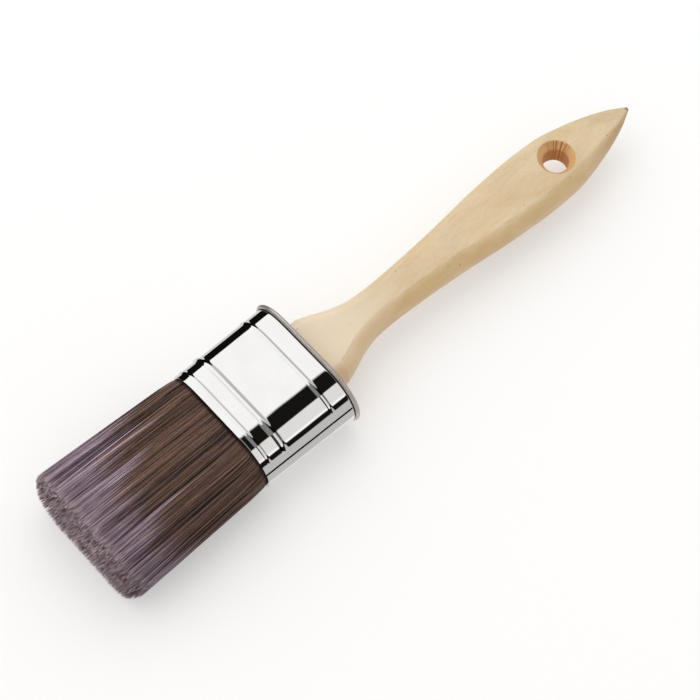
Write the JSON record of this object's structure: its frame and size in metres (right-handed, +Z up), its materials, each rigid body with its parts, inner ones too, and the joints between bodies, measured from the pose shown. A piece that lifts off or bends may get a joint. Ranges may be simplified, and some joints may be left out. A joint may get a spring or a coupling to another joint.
{
  "type": "oval paint brush",
  "caption": "Oval paint brush: pale wooden beavertail handle with a hanging hole, beaded tinplate ferrule and a flared pack of brown synthetic filament.",
  "frame": {"origin": "on the surface the brush lies on, under the middle of its bounding box", "axes": "+X across the width towards the ferrule's lap seam, +Y along the brush towards the handle's tip, +Z up from the broad back face to the broad front face"},
  "size_m": [0.049, 0.2264, 0.025],
  "materials": {
    "pale_wood": "fine-sanded pale hardwood with a thin clear sealer",
    "tinplate": "bright polished tinplate",
    "amber_resin": "cast epoxy",
    "plug_wood": "raw wood strip",
    "filament": "tapered synthetic filament, dark brown at the ferrule and mauve grey at the tips"
  },
  "bodies": {
    "root": {"handle": "pale_wood", "ferrule": "tinplate", "resin_setting": "amber_resin", "spacer_plug": "plug_wood"},
    "bristles": {"tuft_front_outer_1": "filament", "tuft_front_outer_2": "filament", "tuft_front_outer_3": "filament", "tuft_front_outer_4": "filament", "tuft_front_outer_5": "filament", "tuft_front_outer_6": "filament", "tuft_front_outer_7": "filament", "tuft_front_outer_8": "filament", "tuft_front_inner_1": "filament", "tuft_front_inner_2": "filament", "tuft_front_inner_3": "filament", "tuft_front_inner_4": "filament", "tuft_front_inner_5": "filament", "tuft_front_inner_6": "filament", "tuft_front_inner_7": "filament", "tuft_front_inner_8": "filament", "tuft_back_inner_1": "filament", "tuft_back_inner_2": "filament", "tuft_back_inner_3": "filament", "tuft_back_inner_4": "filament", "tuft_back_inner_5": "filament", "tuft_back_inner_6": "filament", "tuft_back_inner_7": "filament", "tuft_back_inner_8": "filament", "tuft_back_outer_1": "filament", "tuft_back_outer_2": "filament", "tuft_back_outer_3": "filament", "tuft_back_outer_4": "filament", "tuft_back_outer_5": "filament", "tuft_back_outer_6": "filament", "tuft_back_outer_7": "filament", "tuft_back_outer_8": "filament", "tuft_edge_left": "filament", "tuft_edge_right": "filament"}
  },
  "joints": [
    {"name": "bristle_flex", "type": "hinge", "parent": "root", "child": "bristles", "pos_m": [0, -0.06015, 0.0125], "axis": [1, 0, 0], "range_deg": [-30, 30], "stiffness_Nm_per_rad": 0.8, "deforming": ["tuft_front_outer_1", "tuft_front_outer_2", "tuft_front_outer_3", "tuft_front_outer_4", "tuft_front_outer_5", "tuft_front_outer_6", "tuft_front_outer_7", "tuft_front_outer_8", "tuft_front_inner_1", "tuft_front_inner_2", "tuft_front_inner_3", "tuft_front_inner_4", "tuft_front_inner_5", "tuft_front_inner_6", "tuft_front_inner_7", "tuft_front_inner_8", "tuft_back_inner_1", "tuft_back_inner_2", "tuft_back_inner_3", "tuft_back_inner_4", "tuft_back_inner_5", "tuft_back_inner_6", "tuft_back_inner_7", "tuft_back_inner_8", "tuft_back_outer_1", "tuft_back_outer_2", "tuft_back_outer_3", "tuft_back_outer_4", "tuft_back_outer_5", "tuft_back_outer_6", "tuft_back_outer_7", "tuft_back_outer_8", "tuft_edge_left", "tuft_edge_right"]}
  ]
}
